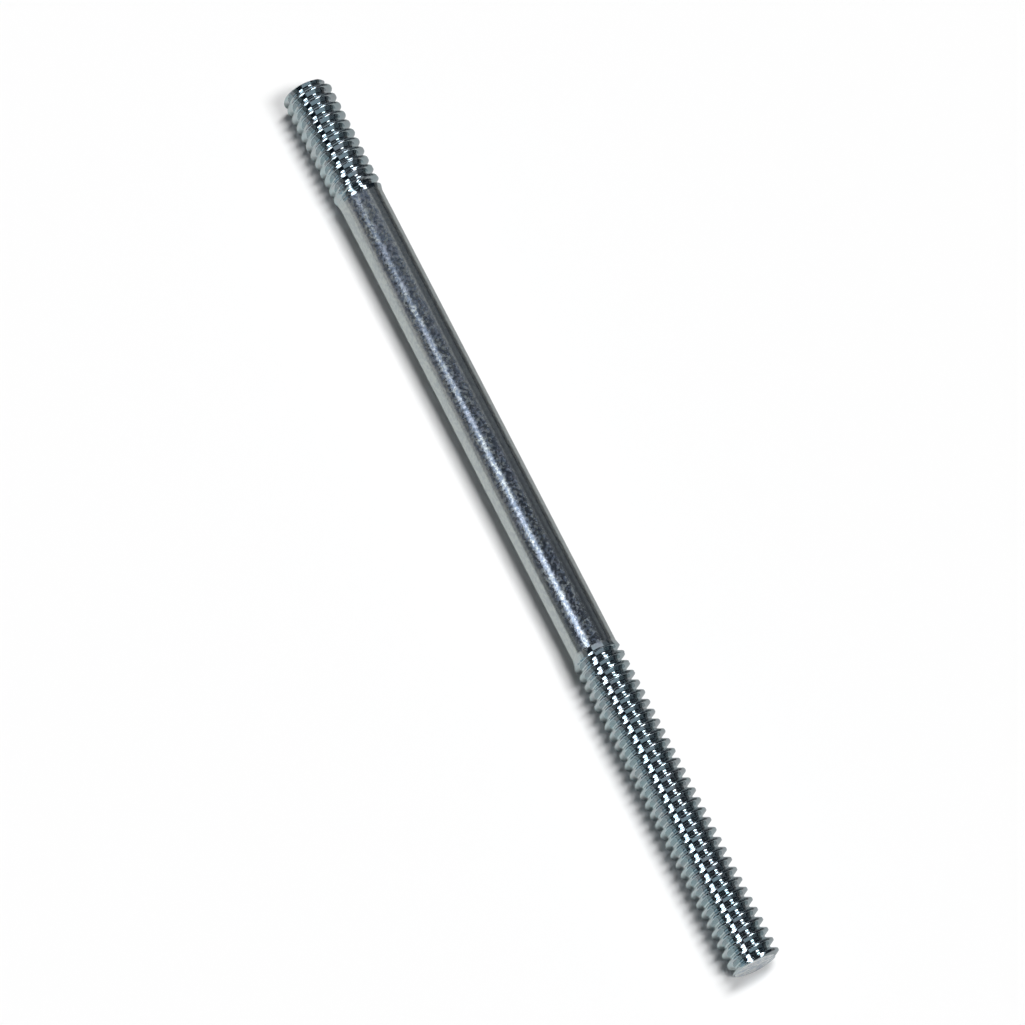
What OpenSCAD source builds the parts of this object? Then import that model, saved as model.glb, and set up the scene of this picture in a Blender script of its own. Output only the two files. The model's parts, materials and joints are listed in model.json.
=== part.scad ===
// Air cleaner stud: a steel rod with a right-hand thread rolled on each end.
// Its axis is the X axis. The carburettor end's face is at x = 0 and the wing nut end points to +X.

/* [Stud] */
// Overall length
stud_length = 117; // [90:0.5:160]
// Diameter of the plain shank, the blank that both threads are rolled on
shank_d = 5.44; // [4.8:0.02:7]

/* [Threaded ends] */
// Length of the thread that screws into the carburettor, shoulder included
carburettor_thread = 15.3; // [8:0.1:25]
// Length of the thread that takes the wing nut, shoulder included
wing_nut_thread = 40.4; // [15:0.5:55]
// Length of the slope from the shank up to the thread's crests
shoulder_length = 1.1; // [0.4:0.1:2]
// Bevel around each end face, as deep as it is long
bevel = 0.4; // [0.2:0.05:0.9]

/* [Thread form] */
// Distance from one turn to the next
pitch = 1.27; // [1:0.01:1.5]
// Height of the crests over the shank
crest_height = 0.26; // [0.12:0.01:0.3]
// Width of the flat at the bottom of the groove
root_flat = 0.16; // [0.08:0.01:0.24]
// Angle between the groove's two flanks
flank_angle = 60; // [50:1:62]
// Turns in which the groove rises out of the metal
runout_turns = 1; // [0.75:0.25:2]
// Place around the stud where the carburettor thread starts
carburettor_start = 305; // [0:5:355]
// Place around the stud where the wing nut thread starts
wing_nut_start = 10; // [0:5:355]

/* [Hidden] */

shank_r = shank_d / 2;
crest_r = shank_r + crest_height;

// The groove and the ridge are each half a pitch wide at the shank's surface,
// because rolling moves as much metal up into the crests as it presses out of the roots.
flank_slope = tan(flank_angle / 2);
root_r = shank_r - (pitch - 2 * root_flat) / (4 * flank_slope);
crest_flat = pitch / 2 - 2 * crest_height * flank_slope;

// The cutter stands proud of the crests, by so little that its turns stay half a crest apart.
cutter_r = crest_r + crest_flat / (4 * flank_slope);
cutter_steps = 24; // to a turn

// One end of the blank from its face inwards, as [radius, distance from the end face]
function end_outline(thread_length) = [
    [crest_r - bevel, 0],
    [crest_r, bevel],
    [crest_r, thread_length - shoulder_length],
    [shank_r, thread_length],
];

function reversed(list) = [for (i = [len(list) - 1:-1:0]) list[i]];

module blank() {
    wing_nut_end = [for (p = end_outline(wing_nut_thread)) [p[0], stud_length - p[1]]];
    outline = concat(
        [[0, 0]], end_outline(carburettor_thread), reversed(wing_nut_end), [[0, stud_length]]
    );
    rotate([0, 90, 0])
        rotate_extrude($fn = 96)
            polygon(outline);
}

// Cross-section of the groove cutter, as [distance along the stud, radius]
function groove_section() =
    let (mouth = root_flat / 2 + (cutter_r - root_r) * flank_slope)
    [[-mouth, cutter_r], [-root_flat / 2, root_r], [root_flat / 2, root_r], [mouth, cutter_r]];

// How far the cutter is raised at a turn, to leave the metal at the last one
function groove_lift(turn, turns) =
    max(0, 1 - (turns - turn) / runout_turns) * (crest_r - root_r);

// A right-hand helix of cutter sections along +X. It starts one pitch before x = 0.
module groove_cutter(thread_length, start) {
    turns = thread_length / pitch + 1;
    steps = ceil(turns * cutter_steps);
    section = groove_section();
    corners = len(section);
    points = [
        for (i = [0:steps], p = section)
        let (
            turn = turns * i / steps,
            angle = start + 360 * turn,
            r = p[1] + groove_lift(turn, turns)
        )
        [p[0] + (turn - 1) * pitch, r * cos(angle), r * sin(angle)]
    ];
    walls = [
        for (i = [0:steps - 1], j = [0:corners - 1])
        let (a = i * corners + j, b = i * corners + (j + 1) % corners)
        each [[a, b + corners, b], [a, a + corners, b + corners]]
    ];
    first_cap = [for (j = [0:corners - 1]) j];
    last_cap = [for (j = first_cap) steps * corners + j];
    polyhedron(points, concat(walls, [first_cap, reversed(last_cap)]));
}

module stud() {
    color("silver")
        difference() {
            blank();
            groove_cutter(carburettor_thread, carburettor_start);
            translate([stud_length, 0, 0])
                rotate([0, 180, 0])
                    groove_cutter(wing_nut_thread, wing_nut_start);
        }
}

stud();
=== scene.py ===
import json
import math
from collections import namedtuple

import bmesh
import bpy
from mathutils import Matrix, Vector


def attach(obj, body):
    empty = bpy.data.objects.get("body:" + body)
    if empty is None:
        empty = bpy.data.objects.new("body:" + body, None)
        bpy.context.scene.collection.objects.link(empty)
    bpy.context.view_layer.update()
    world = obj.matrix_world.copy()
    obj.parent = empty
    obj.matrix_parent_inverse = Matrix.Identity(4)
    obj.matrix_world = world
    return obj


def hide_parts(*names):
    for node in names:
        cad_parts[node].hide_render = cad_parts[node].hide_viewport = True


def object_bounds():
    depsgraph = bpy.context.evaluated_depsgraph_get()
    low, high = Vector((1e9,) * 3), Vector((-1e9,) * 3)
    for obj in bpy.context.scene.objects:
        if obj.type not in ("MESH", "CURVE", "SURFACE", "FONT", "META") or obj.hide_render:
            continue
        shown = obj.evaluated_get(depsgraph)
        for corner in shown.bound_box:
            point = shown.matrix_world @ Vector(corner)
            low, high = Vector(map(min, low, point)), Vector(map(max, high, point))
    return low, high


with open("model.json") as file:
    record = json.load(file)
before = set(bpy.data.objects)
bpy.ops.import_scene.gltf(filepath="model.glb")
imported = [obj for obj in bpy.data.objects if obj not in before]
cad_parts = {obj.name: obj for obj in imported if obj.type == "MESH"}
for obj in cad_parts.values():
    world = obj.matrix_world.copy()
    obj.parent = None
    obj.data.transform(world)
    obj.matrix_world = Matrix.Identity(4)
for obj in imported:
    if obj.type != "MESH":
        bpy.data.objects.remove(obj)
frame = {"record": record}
CAD_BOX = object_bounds()

bl_info = {
    "name": "Air Cleaner Stud",
    "version": (1, 0, 0),
    "blender": (4, 5, 0),
    "location": "View3D > Sidebar > Stud",
    "description": "Models a zinc plated air cleaner stud over its frame and sets it on a pale floor",
    "category": "Object",
}

MM = 0.001  # in metres
MOUNTS = {mount["name"]: mount for mount in frame["record"]["mounts"]}


def mount_size(mount, size):
    """A size in metres that the frame's record gives for a mount."""
    return MOUNTS[mount]["dims"][size] * MM


# ---------------------------------------------------------------- settings


class StudSizes(bpy.types.PropertyGroup):
    """Sizes of the stud and of its rolled threads"""

    length: bpy.props.FloatProperty(
        name="Length",
        description="From the carburettor end's face to the wing nut end's face",
        default=CAD_BOX[1][0] - CAD_BOX[0][0],
        unit="LENGTH",
    )
    crest_radius: bpy.props.FloatProperty(
        name="Crest Radius",
        description="From the axis to the thread's crests",
        default=mount_size("wing_nut_thread", "r_mm"),
        unit="LENGTH",
    )
    shank_radius: bpy.props.FloatProperty(
        name="Shank Radius",
        description="Radius of the plain shank",
        default=mount_size("shank", "r_mm"),
        unit="LENGTH",
    )
    carburettor_thread: bpy.props.FloatProperty(
        name="Carburettor Thread",
        description="Length of the thread that screws into the carburettor",
        default=mount_size("carburettor_thread", "length_mm"),
        unit="LENGTH",
    )
    wing_nut_thread: bpy.props.FloatProperty(
        name="Wing Nut Thread",
        description="Length of the thread that takes the wing nut",
        default=mount_size("wing_nut_thread", "length_mm"),
        unit="LENGTH",
    )
    pitch: bpy.props.FloatProperty(
        name="Pitch",
        description="Distance from one turn to the next",
        default=1.27 * MM,
        unit="LENGTH",
    )
    crest_flat: bpy.props.FloatProperty(
        name="Crest Flat",
        description="Width of the flat along the top of the ridge",
        default=0.14 * MM,
        unit="LENGTH",
    )
    crest_round: bpy.props.FloatProperty(
        name="Crest Round",
        description="Radius between the top of the ridge and its flanks",
        default=0.10 * MM,
        unit="LENGTH",
    )
    root_round: bpy.props.FloatProperty(
        name="Root Round",
        description="Radius at the bottom of the groove",
        default=0.17 * MM,
        unit="LENGTH",
    )
    end_depth: bpy.props.FloatProperty(
        name="End Depth",
        description="How far the crests drop towards each end face",
        default=0.4 * MM,
        unit="LENGTH",
    )
    end_round: bpy.props.FloatProperty(
        name="End Round",
        description="Length over which the crests drop towards each end face",
        default=0.6 * MM,
        unit="LENGTH",
    )
    shoulder: bpy.props.FloatProperty(
        name="Shoulder",
        description="Length of the slope from the shank up to the crests",
        default=1.1 * MM,
        unit="LENGTH",
    )
    carburettor_start: bpy.props.FloatProperty(
        name="Carburettor Start",
        description="Place around the stud where the carburettor thread starts",
        default=math.radians(305),
        subtype="ANGLE",
    )
    wing_nut_start: bpy.props.FloatProperty(
        name="Wing Nut Start",
        description="Place around the stud where the wing nut thread starts",
        default=math.radians(10),
        subtype="ANGLE",
    )
    seam_depth: bpy.props.FloatProperty(
        name="Seam Depth",
        description="Depth of the hollow that rolling leaves in the crests beside the shank",
        default=0.15 * MM,
        unit="LENGTH",
    )
    seam_width: bpy.props.FloatProperty(
        name="Seam Width",
        description="Width of that hollow",
        default=0.36 * MM,
        unit="LENGTH",
    )
    open_turns: bpy.props.FloatProperty(
        name="Open Turns",
        description="Turns beside the shank whose crests still have the hollow",
        default=4.5,
    )


class StudFinish(bpy.types.PropertyGroup):
    """Colours and roughness of the zinc plating"""

    shank_colour: bpy.props.FloatVectorProperty(
        name="Shank Colour",
        description="Colour of the plating on the drawn shank",
        subtype="COLOR",
        size=3,
        default=(0.66, 0.69, 0.68),
    )
    thread_colour: bpy.props.FloatVectorProperty(
        name="Thread Colour",
        description="Colour of the plating on the rolled threads",
        subtype="COLOR",
        size=3,
        default=(0.56, 0.65, 0.68),
    )
    bloom_colour: bpy.props.FloatVectorProperty(
        name="Bloom Colour",
        description="Colour of the dull patches that passivation leaves on the threads",
        subtype="COLOR",
        size=3,
        default=(0.595, 0.63, 0.655),
    )
    stain_colour: bpy.props.FloatVectorProperty(
        name="Stain Colour",
        description="Colour of the blue patches that passivation leaves along the shank",
        subtype="COLOR",
        size=3,
        default=(0.55, 0.58, 0.66),
    )
    # Painted shade: a darker, bluer colour painted into the pits between the plating's crystals
    pit_shade_colour: bpy.props.FloatVectorProperty(
        name="Pit Shade Colour",
        description="Colour of the plating between its crystals",
        subtype="COLOR",
        size=3,
        default=(0.32, 0.37, 0.45),
    )
    worn_face_colour: bpy.props.FloatVectorProperty(
        name="Worn Face Colour",
        description="Colour of the end faces where the plating is thin",
        subtype="COLOR",
        size=3,
        default=(0.56, 0.62, 0.69),
    )
    face_colour: bpy.props.FloatVectorProperty(
        name="Face Colour",
        description="Colour of the plating on the sheared end faces",
        subtype="COLOR",
        size=3,
        default=(0.80, 0.83, 0.84),
    )
    shank_roughness: bpy.props.FloatProperty(
        name="Shank Roughness",
        description="Roughness of the plating on the drawn shank",
        default=0.2,
        min=0.0,
        max=1.0,
    )
    dull_roughness: bpy.props.FloatProperty(
        name="Dull Roughness",
        description="Roughness of the duller crystals along the shank's grained side",
        default=0.30,
        min=0.0,
        max=1.0,
    )
    groove_roughness: bpy.props.FloatProperty(
        name="Groove Roughness",
        description="Roughness of the plating where the dies have pressed the steel smooth",
        default=0.07,
        min=0.0,
        max=1.0,
    )
    crest_roughness: bpy.props.FloatProperty(
        name="Crest Roughness",
        description="Roughness of the plating on the crests, which the dies have not touched",
        default=0.16,
        min=0.0,
        max=1.0,
    )
    grained_side: bpy.props.FloatProperty(
        name="Grained Side",
        description="Turn about the stud from straight up to the middle of the shank's grained side",
        default=math.radians(-12),
        subtype="ANGLE",
    )
    crystal_size: bpy.props.FloatProperty(
        name="Crystal Size",
        description="Width of the crystals in the plating",
        default=0.40 * MM,
        unit="LENGTH",
    )
    crystal_height: bpy.props.FloatProperty(
        name="Crystal Height",
        description="Depth between the crystals in the plating",
        default=0.015 * MM,
        unit="LENGTH",
    )


class StudStage(bpy.types.PropertyGroup):
    """Floor and camera"""

    floor_colour: bpy.props.FloatVectorProperty(
        name="Floor Colour",
        description="Colour of the floor",
        subtype="COLOR",
        size=3,
        default=(0.9, 0.9, 0.9),
    )
    # Painted shade: the floor is drawn greyer to the left where the stud reflects it
    left_floor_reflection_shade: bpy.props.FloatVectorProperty(
        name="Left Floor Reflection Shade",
        description="Colour of the floor to the left in the stud's reflections",
        subtype="COLOR",
        size=3,
        default=(0.55, 0.57, 0.56),
    )
    # Painted shade: the floor is drawn darker to the right where the stud reflects it
    right_floor_reflection_shade: bpy.props.FloatVectorProperty(
        name="Right Floor Reflection Shade",
        description="Colour of the floor to the right in the stud's reflections",
        subtype="COLOR",
        size=3,
        default=(0.36, 0.37, 0.37),
    )
    floor_size: bpy.props.FloatProperty(
        name="Floor Size",
        description="Length of the floor's sides",
        default=6.0,
        unit="LENGTH",
    )
    camera_azimuth: bpy.props.FloatProperty(
        name="Camera Azimuth",
        description="Direction that the camera looks in, from +Y towards +X",
        default=math.radians(-64.07),
        subtype="ANGLE",
    )
    camera_elevation: bpy.props.FloatProperty(
        name="Camera Elevation",
        description="Angle of the camera over the floor",
        default=math.radians(70.5),
        subtype="ANGLE",
    )
    camera_distance: bpy.props.FloatProperty(
        name="Camera Distance",
        description="From the camera to the point that it looks at",
        default=0.5445,
        unit="LENGTH",
    )
    camera_lens: bpy.props.FloatProperty(
        name="Camera Lens",
        description="Focal length in millimetres, on a sensor 36 mm wide",
        default=168.15,
    )


# ---------------------------------------------------------------- modelling


STEPS_A_TURN = 92  # around the threads and the shank
SHANK_CUTS = 59  # rings of edges along the shank, between its two ends
FLANK_LEAN = 60  # degrees between a flank and the stud's axis
FLANK_SLOPE = math.tan(math.radians(FLANK_LEAN))  # rise of a flank for each step along the stud
ROUND_LEANS = (0, 20, 40, FLANK_LEAN)  # degrees of lean where a rounded root or crest has edges
FLANK_EDGES = (0.12, 0.88)  # places of two more edges on a flank, as shares of its length
END_RINGS = (0.06, 0.2, 0.45, 1.0)  # places of the edges on a rounded end, as shares of its length
END_INSET = 0.35 * MM  # width of the outer ring of faces on an end face
SPARE_TURNS = 3  # turns drawn before the end face, so that the thread is whole where it is cut
LAST_TURNS = 2  # turns drawn past the thread, to reach beyond the lap wherever it starts
SEAM_FADE = 0.625  # share of the open turns over which the hollow in the crests gets its depth
BRIDGE_LENGTH = 0.4 * MM  # from a threaded end's last ring to the shank's first one
SHARP_ANGLE = math.radians(40)  # edges that turn by more than this stay sharp
TURN_WELD = 1e-6  # in metres: points of two turns that lie this close are joined
TOUCHING = 1e-7  # in metres: points that lie this close count as one


def deselect_all():
    """Goes back to object mode with nothing selected."""
    if bpy.context.object and bpy.context.object.mode != "OBJECT":
        bpy.ops.object.mode_set(mode="OBJECT")
    bpy.ops.object.select_all(action="DESELECT")


def select_vertices(piece, wanted):
    """Selects the vertices whose place passes the test. The piece stays in edit mode."""
    bpy.ops.object.mode_set(mode="EDIT")
    bpy.ops.mesh.select_mode(type="VERT")
    mesh = bmesh.from_edit_mesh(piece.data)
    for vertex in mesh.verts:
        vertex.select = wanted(vertex.co)
    mesh.select_flush_mode()
    bmesh.update_edit_mesh(piece.data)


def select_edges(piece, wanted):
    """Selects the edges that pass the test. The piece stays in edit mode."""
    bpy.ops.object.mode_set(mode="EDIT")
    bpy.ops.mesh.select_mode(type="EDGE")
    bpy.ops.mesh.select_all(action="DESELECT")
    mesh = bmesh.from_edit_mesh(piece.data)
    for edge in mesh.edges:
        edge.select = wanted(edge)
    bmesh.update_edit_mesh(piece.data)


def arc(radius, degrees):
    """Steps along and out from the bottom of a hollow, up to where it leans by some degrees."""
    lean = math.radians(degrees)
    return radius * math.sin(lean), radius * (1 - math.cos(lean))


def thread_height(sizes):
    """From the bottom of the groove to the top of the ridge."""
    hollow = arc(sizes.root_round, FLANK_LEAN)
    corner = arc(sizes.crest_round, FLANK_LEAN)
    flank = (sizes.pitch - sizes.crest_flat) / 2 - hollow[0] - corner[0]
    return hollow[1] + flank * FLANK_SLOPE + corner[1]


def thread_profile(sizes):
    """Steps from the middle of one groove to the middle of the next, as [along, out]."""
    height = thread_height(sizes)
    top = (sizes.pitch - sizes.crest_flat) / 2
    hollow = [arc(sizes.root_round, lean) for lean in ROUND_LEANS]
    corner = [arc(sizes.crest_round, lean) for lean in reversed(ROUND_LEANS)]
    corner = [(top - along, height - out) for along, out in corner]
    (low_along, low_out), (high_along, high_out) = hollow[-1], corner[0]
    flank = [
        (low_along + (high_along - low_along) * part, low_out + (high_out - low_out) * part)
        for part in FLANK_EDGES
    ]
    rise = hollow + flank + corner
    fall = [(sizes.pitch - along, out) for along, out in reversed(rise)]
    return rise + [(sizes.pitch / 2, height)] + fall


def draw_profile(points):
    """Draws a chain of edges in the plane z = 0, by extruding one vertex from point to point."""
    deselect_all()
    bpy.ops.mesh.primitive_plane_add(size=MM)
    bpy.ops.object.mode_set(mode="EDIT")
    bpy.ops.mesh.select_all(action="SELECT")
    bpy.ops.mesh.merge(type="CENTER")
    bpy.ops.transform.translate(value=(*points[0], 0.0))
    for here, there in zip(points, points[1:]):
        step = (there[0] - here[0], there[1] - here[1], 0.0)
        bpy.ops.mesh.extrude_region_move(TRANSFORM_OT_translate={"value": step})
    bpy.ops.object.mode_set(mode="OBJECT")
    return bpy.context.object


def cut_ring(place, clear_inner=False, clear_outer=False):
    """Cuts the active piece across its axis, and clears away what is before or past the cut."""
    bpy.ops.object.mode_set(mode="EDIT")
    bpy.ops.mesh.select_all(action="SELECT")
    bpy.ops.mesh.bisect(
        plane_co=(place, 0, 0),
        plane_no=(1, 0, 0),
        clear_inner=clear_inner,
        clear_outer=clear_outer,
        threshold=TOUCHING,
    )
    bpy.ops.object.mode_set(mode="OBJECT")


def blank_radius(sizes, along, length):
    """Radius over the crests, which drops to the end face and slopes down to the shank."""
    inset = 1 - min(1.0, max(0.0, along / sizes.end_round))
    rounded = sizes.crest_radius - sizes.end_depth * (1 - math.sqrt(1 - inset**2))
    slope = max(0.0, (length - along) / sizes.shoulder)
    sloped = sizes.shank_radius + (sizes.crest_radius - sizes.shank_radius) * slope
    return min(rounded, sloped)


def crest_hollow(sizes, away, left):
    """Depth of the hollow in the crests.

    Away is 0 in the middle of the groove and 1 on the crest. Left is in turns before the shank.
    """
    aside = min(1.0, abs(1 - away) * sizes.pitch / sizes.seam_width)
    depth = sizes.seam_depth * (1 + math.cos(math.pi * aside)) / 2
    return depth * min(1.0, max(0.0, 1 - left / sizes.open_turns) / SEAM_FADE)


def fade_thread(piece, sizes, length, start):
    """Lifts the groove out of the metal at its last turn and slopes both ends, as on the frame."""
    turns = length / sizes.pitch + 1
    height = thread_height(sizes)
    for vertex in piece.data.vertices:
        along, y, z = vertex.co
        radius = math.hypot(y, z)
        turn = along / sizes.pitch + 1
        around = (math.atan2(z, y) - start) / math.tau
        centre = round(turn - around) + around
        away = abs(turn - centre) * 2  # 0 in the groove, 1 on the crest
        lift = max(0.0, 1 - max(0.0, turns - centre)) * height
        faded = radius + lift - crest_hollow(sizes, away, turns - turn)
        if along >= length:
            faded = sizes.shank_radius
        scale = min(faded, blank_radius(sizes, along, length)) / radius
        vertex.co = (max(0.0, along), y * scale, z * scale)


def shank_lap(sizes):
    """How far the mesh of a threaded end goes on along the shank."""
    return sizes.pitch / 2


def add_thread(sizes, length, start, name):
    """One threaded end, from its face at x = 0 inwards along +X."""
    first = sizes.pitch * (-SPARE_TURNS - start / math.tau)
    root_radius = sizes.crest_radius - thread_height(sizes)
    profile = [(first + along, root_radius + out) for along, out in thread_profile(sizes)]
    piece = draw_profile(profile)
    piece.name = name
    screw = piece.modifiers.new("Screw", "SCREW")
    screw.axis = "X"
    screw.angle = math.tau
    screw.screw_offset = sizes.pitch
    screw.steps = STEPS_A_TURN
    screw.render_steps = STEPS_A_TURN
    screw.iterations = math.ceil(length / sizes.pitch) + SPARE_TURNS + LAST_TURNS
    bpy.ops.object.modifier_apply(modifier=screw.name)
    bpy.ops.object.mode_set(mode="EDIT")
    bpy.ops.mesh.select_all(action="SELECT")
    bpy.ops.mesh.remove_doubles(threshold=TURN_WELD)
    bpy.ops.object.mode_set(mode="OBJECT")
    end_rings = [sizes.end_round * part for part in END_RINGS]
    for place in (*end_rings, length - sizes.shoulder, length):
        cut_ring(place)
    cut_ring(length + shank_lap(sizes), clear_outer=True)
    cut_ring(0.0, clear_inner=True)
    fade_thread(piece, sizes, length, start)
    select_vertices(piece, lambda co: co.x < TOUCHING)
    bpy.ops.mesh.edge_face_add()
    bpy.ops.mesh.inset(thickness=END_INSET)
    bpy.ops.object.mode_set(mode="OBJECT")
    return piece


def add_shank(sizes, first, last):
    """The plain shank, open at both ends, between two places on the axis."""
    deselect_all()
    bpy.ops.mesh.primitive_cylinder_add(
        vertices=STEPS_A_TURN,
        radius=sizes.shank_radius,
        depth=last - first,
        end_fill_type="NOTHING",
        location=((first + last) / 2, 0, 0),
        rotation=(0, math.radians(90), 0),
    )
    bpy.ops.object.transform_apply(location=True, rotation=True, scale=True)
    shank = bpy.context.object
    select_edges(shank, lambda edge: abs(edge.verts[0].co.x - edge.verts[1].co.x) > MM)
    bpy.ops.mesh.subdivide(number_cuts=SHANK_CUTS)
    bpy.ops.object.mode_set(mode="OBJECT")
    return shank


def bridge_rings(piece, place):
    """Joins the two open rings that lie beside a place on the axis."""

    def is_beside(edge):
        return all(abs(vertex.co.x - place) < BRIDGE_LENGTH for vertex in edge.verts)

    select_edges(piece, lambda edge: edge.is_boundary and is_beside(edge))
    bpy.ops.mesh.bridge_edge_loops()
    bpy.ops.object.mode_set(mode="OBJECT")


def add_stud(sizes):
    """The whole stud as one closed mesh, in the frame's place."""
    far_thread = add_thread(
        sizes, sizes.carburettor_thread, sizes.carburettor_start, "carburettor_thread"
    )
    near_thread = add_thread(sizes, sizes.wing_nut_thread, sizes.wing_nut_start, "wing_nut_thread")
    near_thread.data.transform(
        Matrix.Translation((sizes.length, 0, 0)) @ Matrix.Rotation(math.pi, 4, "Y")
    )
    first = sizes.carburettor_thread + shank_lap(sizes) + BRIDGE_LENGTH
    last = sizes.length - sizes.wing_nut_thread - shank_lap(sizes) - BRIDGE_LENGTH
    shank = add_shank(sizes, first, last)
    deselect_all()
    for part in (far_thread, near_thread, shank):
        part.select_set(True)
    bpy.context.view_layer.objects.active = shank
    bpy.ops.object.join()
    stud = bpy.context.object
    stud.name = "rolled_stud"
    stud.data.name = "rolled_stud"
    bridge_rings(stud, first - BRIDGE_LENGTH / 2)
    bridge_rings(stud, last + BRIDGE_LENGTH / 2)
    bpy.ops.object.mode_set(mode="EDIT")
    bpy.ops.mesh.select_all(action="SELECT")
    bpy.ops.mesh.remove_doubles(threshold=TOUCHING)
    bpy.ops.mesh.normals_make_consistent(inside=False)
    bpy.ops.object.mode_set(mode="OBJECT")
    bpy.ops.object.shade_smooth_by_angle(angle=SHARP_ANGLE)
    return stud


# ---------------------------------------------------------------- nodes


def new_node(tree, kind, **values):
    """A new node, with some of its settings."""
    node = tree.nodes.new(kind)
    for name, value in values.items():
        setattr(node, name, value)
    return node


def feed(tree, entry, value):
    """Gives an input its value, which is a node's output, a number or a colour."""
    if isinstance(value, bpy.types.NodeSocket):
        tree.links.new(value, entry)
    elif isinstance(value, (int, float)):
        entry.default_value = value
    else:
        entry.default_value = (*value, 1)


def ramp_value(tree, value, start, end):
    """A value that rises smoothly from 0 at the start to 1 at the end."""
    node = new_node(tree, "ShaderNodeMapRange", interpolation_type="SMOOTHSTEP")
    feed(tree, node.inputs["Value"], value)
    feed(tree, node.inputs["From Min"], start)
    feed(tree, node.inputs["From Max"], end)
    return node.outputs["Result"]


def combine(tree, operation, first, second):
    """Two values added or multiplied, as the operation says."""
    node = new_node(tree, "ShaderNodeMath", operation=operation)
    feed(tree, node.inputs[0], first)
    feed(tree, node.inputs[1], second)
    return node.outputs["Value"]


def multiply(tree, first, second):
    return combine(tree, "MULTIPLY", first, second)


def mix(tree, kind, factor, low, high):
    """A mix of one kind of data, from low to high as the factor goes from 0 to 1."""
    node = new_node(tree, "ShaderNodeMix", data_type=kind)
    feed(tree, node.inputs["Factor"], factor)
    feed(tree, node.inputs["A"], low)
    feed(tree, node.inputs["B"], high)
    return node.outputs["Result"]


def mix_values(tree, factor, low, high):
    return mix(tree, "FLOAT", factor, low, high)


def mix_colours(tree, factor, low, high):
    return mix(tree, "RGBA", factor, low, high)


def noise(tree, place, size, detail, roughness, stretch=1.0):
    """Noise with spots of some size, drawn out along the stud by the stretch."""
    shape = new_node(tree, "ShaderNodeMapping")
    shape.inputs["Scale"].default_value = (1 / stretch, 1, 1)
    feed(tree, shape.inputs["Vector"], place)
    node = new_node(tree, "ShaderNodeTexNoise")
    feed(tree, node.inputs["Vector"], shape.outputs["Vector"])
    feed(tree, node.inputs["Scale"], 1 / size)
    feed(tree, node.inputs["Detail"], detail)
    feed(tree, node.inputs["Roughness"], roughness)
    return node.outputs["Fac"]


def object_place(tree):
    """The place of a point in the piece's own frame."""
    return new_node(tree, "ShaderNodeTexCoord").outputs["Object"]


def split_place(tree, place):
    """Outputs X, Y and Z of a place."""
    split = new_node(tree, "ShaderNodeSeparateXYZ")
    feed(tree, split.inputs["Vector"], place)
    return split.outputs


def distance_from_axis(tree, place):
    flat = new_node(tree, "ShaderNodeVectorMath", operation="MULTIPLY")
    flat.inputs[1].default_value = (0, 1, 1)
    feed(tree, flat.inputs[0], place)
    length = new_node(tree, "ShaderNodeVectorMath", operation="LENGTH")
    feed(tree, length.inputs[0], flat.outputs["Vector"])
    return length.outputs["Value"]


def reach_towards(tree, place, angle):
    """How far a place lies from the axis in one direction, turned from straight up by the angle."""
    node = new_node(tree, "ShaderNodeVectorMath", operation="DOT_PRODUCT")
    feed(tree, node.inputs[0], place)
    node.inputs[1].default_value = (0, math.sin(angle), math.cos(angle))
    return node.outputs["Value"]


# ---------------------------------------------------------------- finish


# Where the finish changes, as two distances that it changes between
ONTO_SHANK = (-0.6 * MM, 0.2 * MM)  # from the end of a thread towards the middle of the shank
ONTO_CREST = (0.16 * MM, 0.03 * MM)  # below the top of the crests
ONTO_FACE = (0.05 * MM, 0.01 * MM)  # from an end face
ONTO_GRAIN = (2.3 * MM, 2.55 * MM)  # from the axis towards the middle of the grained side

SHEAR_HEIGHT = 30.0  # depth of the marks on the sheared end faces, in heights of a crystal
FACE_METAL = 0.3  # how far the end faces shine as metal, where 1 is all of it
SMOOTH_SIDE_GRAIN = 0.3  # height of the crystals off the grained side, as a share of the full one
SMOOTH_SIDE_PIT_SHADE = 0.35  # strength of the painted shade in the pits there, in the same way

Zones = namedtuple("Zones", "shank grained crest face")


def find_zones(tree, place, finish, sizes):
    """Masks of the stud's zones, each 1 inside its zone and 0 elsewhere."""
    along = split_place(tree, place)["X"]
    shank_start = sizes.carburettor_thread
    shank_end = sizes.length - sizes.wing_nut_thread
    shank = multiply(
        tree,
        ramp_value(tree, along, *(shank_start + step for step in ONTO_SHANK)),
        ramp_value(tree, along, *(shank_end - step for step in ONTO_SHANK)),
    )
    grained_side = reach_towards(tree, place, finish.grained_side)
    grained = multiply(tree, ramp_value(tree, grained_side, *ONTO_GRAIN), shank)
    radius = distance_from_axis(tree, place)
    crest = ramp_value(tree, radius, *(sizes.crest_radius - depth for depth in ONTO_CREST))
    face = combine(
        tree,
        "ADD",
        ramp_value(tree, along, *ONTO_FACE),
        ramp_value(tree, along, *(sizes.length - depth for depth in ONTO_FACE)),
    )
    return Zones(shank, grained, crest, face)


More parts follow.
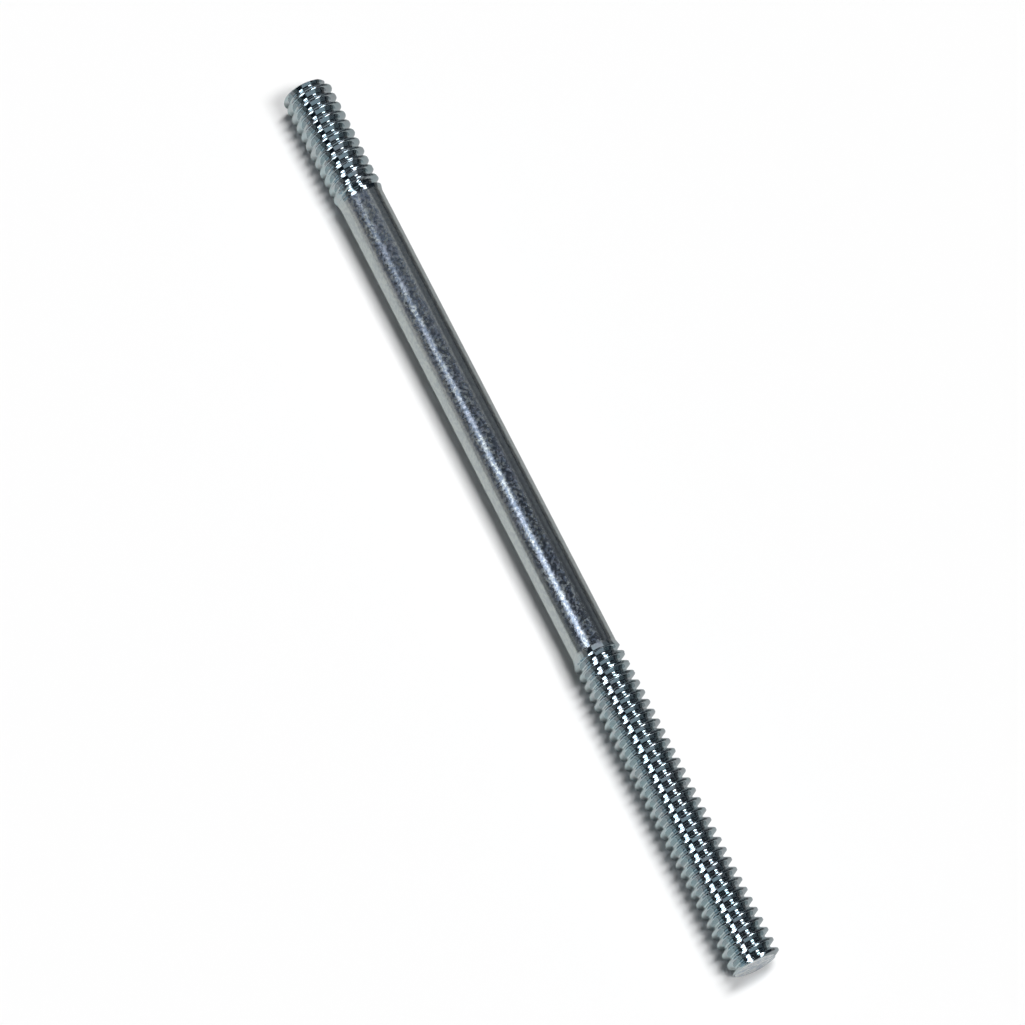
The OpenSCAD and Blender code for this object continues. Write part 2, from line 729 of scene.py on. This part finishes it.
def plating_colour(tree, place, finish, zones, shears):
    """Stains on the threads and the grained side, painted shade in the pits between the crystals,
    patchy end faces.
    """
    stains = noise(tree, place, size=1.4 * MM, detail=3.0, roughness=0.65, stretch=2.0)
    stained = ramp_value(tree, stains, start=0.44, end=0.62)
    threads = mix_colours(tree, stained, finish.thread_colour, finish.bloom_colour)
    colour = mix_colours(tree, zones.shank, threads, finish.shank_colour)
    colour = mix_colours(tree, multiply(tree, stained, zones.grained), colour, finish.stain_colour)

    # Painted shade: dark specks in the gaps between the crystals, strongest on the grained side
    gap_size = 0.7 * finish.crystal_size
    gaps = noise(tree, place, size=gap_size, detail=1.5, roughness=0.6, stretch=1.5)
    shaded_pits = multiply(tree, ramp_value(tree, gaps, start=0.58, end=0.42), zones.shank)
    shaded_pits = multiply(tree, shaded_pits, mix_values(tree, zones.grained, SMOOTH_SIDE_PIT_SHADE, 1.0))
    colour = mix_colours(tree, shaded_pits, colour, finish.pit_shade_colour)

    patches = ramp_value(tree, shears, start=0.4, end=0.58)
    faces = mix_colours(tree, patches, finish.worn_face_colour, finish.face_colour)
    return mix_colours(tree, zones.face, colour, faces)


def plating_roughness(tree, finish, zones, crystals):
    """Smooth grooves, duller crests, and dull crystals on the grained side."""
    dull = multiply(tree, ramp_value(tree, crystals, start=0.42, end=0.58), zones.grained)
    shank = mix_values(tree, dull, finish.shank_roughness, finish.dull_roughness)
    threads = mix_values(tree, zones.crest, finish.groove_roughness, finish.crest_roughness)
    return mix_values(tree, zones.shank, threads, shank)


def plating_relief(tree, finish, zones, crystals, shears):
    """Crystals in low relief, and the deeper marks of shearing on the end faces."""
    bump = new_node(tree, "ShaderNodeBump")
    marks = multiply(tree, shears, SHEAR_HEIGHT)
    feed(tree, bump.inputs["Strength"], mix_values(tree, zones.grained, SMOOTH_SIDE_GRAIN, 1.0))
    feed(tree, bump.inputs["Distance"], finish.crystal_height)
    feed(tree, bump.inputs["Height"], mix_values(tree, zones.face, crystals, marks))
    return bump.outputs["Normal"]


def zinc_plating(finish, sizes):
    """Bright zinc: grained on one side of the drawn shank, smooth in the rolled grooves."""
    material = bpy.data.materials.new("zinc_plating")
    material.use_nodes = True
    tree = material.node_tree
    shader = tree.nodes["Principled BSDF"]
    place = object_place(tree)
    zones = find_zones(tree, place, finish, sizes)
    crystals = noise(tree, place, size=finish.crystal_size, detail=1.0, roughness=0.5)
    shears = noise(tree, place, size=0.9 * MM, detail=3.0, roughness=0.65)
    colour = plating_colour(tree, place, finish, zones, shears)
    roughness = plating_roughness(tree, finish, zones, crystals)
    relief = plating_relief(tree, finish, zones, crystals, shears)
    feed(tree, shader.inputs["Base Color"], colour)
    feed(tree, shader.inputs["Metallic"], mix_values(tree, zones.face, 1.0, FACE_METAL))
    feed(tree, shader.inputs["Roughness"], roughness)
    feed(tree, shader.inputs["Normal"], relief)
    return material


# ---------------------------------------------------------------- stage


FLOOR_CELLS = 8  # faces along each side of the floor
FLOOR_BLEND = 5 * MM  # half the width of the band where the floor's two painted shades meet in reflections
CEILING_HEIGHT = 0.7  # of the panel lamps over the stud, in metres
SCREEN_DISTANCE = 0.8  # of the screens from the stud, in metres
SCREEN_LIGHT_START = -0.5  # where the light starts along a screen, in metres from its middle
AT_ONCE = 0.001  # length of a fade that is too short to show
COOL_LIGHT = (0.93, 1.0, 1.08)
WINDOW_LIGHT = (0.82, 1.05, 1.18)
PLAIN_LIGHT = (1.0, 1.0, 1.0)

# Lean along the stud and strength of each pair of key lamps, and the turns about it of the two
KEY_LAMPS = ((-11, 1.02), (25, 0.78))
KEY_LAMP_TURNS = (11, 23)
KEY_LAMP_WIDTH = 13  # in degrees, as seen from the stud

CARD_LENGTH = 240 * MM
CARD_HEIGHT = 5 * MM
CARD_PLACE = 15 * MM  # from the stud's axis to the card

WALL_LIGHT = (0.07, 0.07, 0.07)
WALL_REFLECTION = (0.008, 0.012, 0.018)

CAMERA_SENSOR = 36.0  # width in millimetres
CAMERA_AIM = Vector((-0.81, -1.05, 0)) * MM  # from the stud's middle to what the camera looks at


def stud_middle():
    """The middle of the frame's box."""
    low, high = Vector(CAD_BOX[0]), Vector(CAD_BOX[1])
    return (low + high) / 2


def aim(thing, target):
    """Turns a lamp or camera so that it looks at a point."""
    towards = Vector(target) - thing.location
    thing.rotation_euler = towards.to_track_quat("-Z", "Y").to_euler()


def direction(axial, lateral):
    """A direction given by its lean along the stud and its turn about the stud from straight up."""
    flat = math.cos(math.radians(axial))
    turn = math.radians(lateral)
    return Vector((math.sin(math.radians(axial)), flat * math.sin(turn), flat * math.cos(turn)))


def show_in_reflections_only(thing):
    thing.visible_camera = False
    thing.visible_diffuse = False
    thing.visible_shadow = False


def pale_floor(stage):
    """One pale colour, with a painted shade of grey on each side of the stud in its reflections,
    lighter to the left and darker to the right.
    """
    material = bpy.data.materials.new("pale_floor")
    material.use_nodes = True
    tree = material.node_tree
    shader = tree.nodes["Principled BSDF"]
    across = split_place(tree, object_place(tree))["Y"]
    right = ramp_value(tree, across, -FLOOR_BLEND, FLOOR_BLEND)
    reflected = mix_colours(tree, right, stage.left_floor_reflection_shade, stage.right_floor_reflection_shade)
    # Painted shade: glossy rays see the floor in these greys, while the camera and the lamps see it
    # pale
    rays = new_node(tree, "ShaderNodeLightPath")
    colour = mix_colours(tree, rays.outputs["Is Glossy Ray"], stage.floor_colour, reflected)
    feed(tree, shader.inputs["Base Color"], colour)
    feed(tree, shader.inputs["Roughness"], 0.9)
    feed(tree, shader.inputs["Specular IOR Level"], 0.0)
    return material


def add_floor(stage):
    """The floor that the stud lies on."""
    deselect_all()
    bpy.ops.mesh.primitive_grid_add(
        x_subdivisions=FLOOR_CELLS,
        y_subdivisions=FLOOR_CELLS,
        size=stage.floor_size,
        location=(0, 0, CAD_BOX[0][2]),
    )
    bpy.ops.object.transform_apply(location=True, rotation=True, scale=True)
    floor = bpy.context.object
    floor.name = "floor"
    floor.data.materials.append(pale_floor(stage))


def glow(name, strength, colour, start, fade=AT_ONCE, dim=0.0):
    """Light that starts at a place along the plane, in metres, and rises from dim over the fade."""
    material = bpy.data.materials.new(name)
    material.use_nodes = True
    tree = material.node_tree
    tree.nodes.clear()
    rise = new_node(tree, "ShaderNodeMapRange", interpolation_type="SMOOTHSTEP")
    feed(tree, rise.inputs["Value"], split_place(tree, object_place(tree))["X"])
    feed(tree, rise.inputs["From Min"], start)
    feed(tree, rise.inputs["From Max"], start + fade)
    feed(tree, rise.inputs["To Min"], dim)
    feed(tree, rise.inputs["To Max"], strength)
    light = new_node(tree, "ShaderNodeEmission")
    feed(tree, light.inputs["Color"], colour)
    feed(tree, light.inputs["Strength"], rise.outputs["Result"])
    output = new_node(tree, "ShaderNodeOutputMaterial")
    feed(tree, output.inputs["Surface"], light.outputs["Emission"])
    return material


def add_reflected_plane(name, size):
    """A plane of some length and width that shows in reflections only."""
    deselect_all()
    bpy.ops.mesh.primitive_plane_add(size=1)
    plane = bpy.context.object
    plane.name = name
    plane.data.transform(Matrix.Diagonal((*size, 1, 1)))
    show_in_reflections_only(plane)
    return plane


def add_panel(name, first, last, width, strength, fade=AT_ONCE, dim=0.0):
    """A soft panel lamp under the ceiling, between two points.

    The points, the width and the fade are given in heights of the ceiling over the stud.
    """
    ends = [stud_middle() + Vector((*point, 1)) * CEILING_HEIGHT for point in (first, last)]
    along = ends[1] - ends[0]
    panel = add_reflected_plane(name, (along.length, width * CEILING_HEIGHT))
    panel.location = (ends[0] + ends[1]) / 2
    panel.rotation_euler = (0, 0, math.atan2(along.y, along.x))
    light = glow(name, strength, COOL_LIGHT, -along.length / 2, fade * CEILING_HEIGHT, dim)
    panel.data.materials.append(light)


def add_screen(name, axial, lateral, strength, colour=PLAIN_LIGHT):
    """A glowing screen beside the stud, between two leans along it and two turns about it.

    The part of a long screen that lies before SCREEN_LIGHT_START is dark.
    """
    spans = [math.radians(high - low) for low, high in (axial, lateral)]
    size = [2 * SCREEN_DISTANCE * math.tan(span / 2) for span in spans]
    screen = add_reflected_plane(name, size)
    lean, turn = (sum(pair) / 2 for pair in (axial, lateral))
    screen.location = stud_middle() + direction(lean, turn) * SCREEN_DISTANCE
    tilt = Matrix.Rotation(math.radians(-turn), 4, "X") @ Matrix.Rotation(math.radians(lean), 4, "Y")
    screen.rotation_euler = tilt.to_euler()
    screen.data.materials.append(glow(name, strength, colour, SCREEN_LIGHT_START))


def add_dark_card():
    """A low dark card beside the stud, which darkens the reflection of that side of the floor."""
    card = add_reflected_plane("dark_card", (CARD_LENGTH, CARD_HEIGHT))
    card.location = (stud_middle().x, CARD_PLACE, CAD_BOX[0][2] + CARD_HEIGHT / 2)
    card.rotation_euler = (math.radians(90), 0, 0)
    material = bpy.data.materials.new("dark_card")
    material.use_nodes = True
    shader = material.node_tree.nodes["Principled BSDF"]
    feed(material.node_tree, shader.inputs["Base Color"], (0.2, 0.2, 0.2))
    feed(material.node_tree, shader.inputs["Roughness"], 1.0)
    card.data.materials.append(material)


def add_sun(name, axial, lateral, strength):
    """A soft lamp from far away, which doesn't show in reflections."""
    lamp = bpy.data.lights.new(name, "SUN")
    lamp.angle = math.radians(KEY_LAMP_WIDTH)
    lamp.energy = strength
    sun = bpy.data.objects.new(name, lamp)
    bpy.context.scene.collection.objects.link(sun)
    sun.location = stud_middle() + direction(axial, lateral)
    aim(sun, stud_middle())
    sun.visible_glossy = False


def add_lamps():
    """Key lamps light the stud and the floor. Panels and screens draw the bands on the metal."""
    for axial, strength in KEY_LAMPS:
        for lateral in KEY_LAMP_TURNS:
            add_sun(f"key_lamp_{axial}_{lateral}", axial, lateral, strength)
    add_panel("left_strip", (-0.60, -0.53), (6.5, -0.62), width=0.47, strength=6.8, fade=0.88)
    add_panel("right_strip", (-0.06, 0.63), (6.0, 2.09), width=0.38, strength=7.0, fade=0.12)
    add_panel("back_panel", (-0.37, 0.45), (-1.3, 0.45), width=1.4, strength=0.5, fade=0.36, dim=0.06)
    add_panel("right_wall", (-3.5, 4.6), (-0.6, 4.6), width=6.9, strength=0.13)
    add_panel("corner_panel", (-2.0, -0.80), (-1.30, -0.80), width=0.8, strength=1.8)
    add_screen("pale_line", axial=(-35, -19), lateral=(42.5, 47.5), strength=0.40)
    add_screen("left_wall", axial=(-53, -17), lateral=(-91, -71), strength=0.45)
    add_screen("left_dusk", axial=(-53, -17), lateral=(-71, -50), strength=0.16)
    add_screen(
        "left_window", axial=(-16, 60), lateral=(-91, -61), strength=0.38, colour=WINDOW_LIGHT
    )


def add_world():
    """Dim walls: neutral where they light the floor, darker and bluer in reflections."""
    world = bpy.data.worlds.new("studio")
    world.use_nodes = True
    tree = world.node_tree
    rays = new_node(tree, "ShaderNodeLightPath")
    walls = mix_colours(tree, rays.outputs["Is Glossy Ray"], WALL_LIGHT, WALL_REFLECTION)
    feed(tree, tree.nodes["Background"].inputs["Color"], walls)
    bpy.context.scene.world = world


def add_camera(stage):
    """A camera with a long lens, which looks down on the stud from its wing nut end."""
    camera_data = bpy.data.cameras.new("camera")
    camera_data.sensor_width = CAMERA_SENSOR
    camera_data.lens = stage.camera_lens
    camera = bpy.data.objects.new("camera", camera_data)
    bpy.context.scene.collection.objects.link(camera)
    flat = math.cos(stage.camera_elevation)
    forward = Vector(
        (
            math.sin(stage.camera_azimuth) * flat,
            math.cos(stage.camera_azimuth) * flat,
            -math.sin(stage.camera_elevation),
        )
    )
    target = stud_middle() + CAMERA_AIM
    camera.location = target - forward * stage.camera_distance
    aim(camera, target)
    bpy.context.scene.camera = camera


# ---------------------------------------------------------------- operators


class STUD_OT_add_stud(bpy.types.Operator):
    """Models the stud with both rolled threads and gives it its zinc plating"""

    bl_idname = "stud.add_stud"
    bl_label = "Add Stud"

    def execute(self, context):
        sizes = context.scene.stud_sizes
        stud = add_stud(sizes)
        stud.data.materials.clear()
        stud.data.materials.append(zinc_plating(context.scene.stud_finish, sizes))
        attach(stud, "root")
        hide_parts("stud")
        return {"FINISHED"}


class STUD_OT_add_stage(bpy.types.Operator):
    """Adds the floor, the lamps and the camera"""

    bl_idname = "stud.add_stage"
    bl_label = "Add Stage"

    def execute(self, context):
        stage = context.scene.stud_stage
        add_floor(stage)
        add_world()
        add_lamps()
        add_dark_card()
        add_camera(stage)
        context.scene.view_settings.view_transform = "Standard"
        return {"FINISHED"}


class STUD_PT_panel(bpy.types.Panel):
    """Lists the steps that build the stud"""

    bl_idname = "STUD_PT_panel"
    bl_label = "Air Cleaner Stud"
    bl_space_type = "VIEW_3D"
    bl_region_type = "UI"
    bl_category = "Stud"

    def draw(self, context):
        for step in STEPS:
            self.layout.operator(step.bl_idname)


SETTINGS = {"stud_sizes": StudSizes, "stud_finish": StudFinish, "stud_stage": StudStage}
STEPS = (STUD_OT_add_stud, STUD_OT_add_stage)


def register():
    for cls in (*SETTINGS.values(), *STEPS, STUD_PT_panel):
        bpy.utils.register_class(cls)
    for name, group in SETTINGS.items():
        setattr(bpy.types.Scene, name, bpy.props.PointerProperty(type=group))


def unregister():
    for name in SETTINGS:
        delattr(bpy.types.Scene, name)
    for cls in (STUD_PT_panel, *reversed(STEPS), *SETTINGS.values()):
        bpy.utils.unregister_class(cls)


def main():
    register()
    bpy.ops.stud.add_stud()
    bpy.ops.stud.add_stage()


if __name__ == "__main__":
    main()
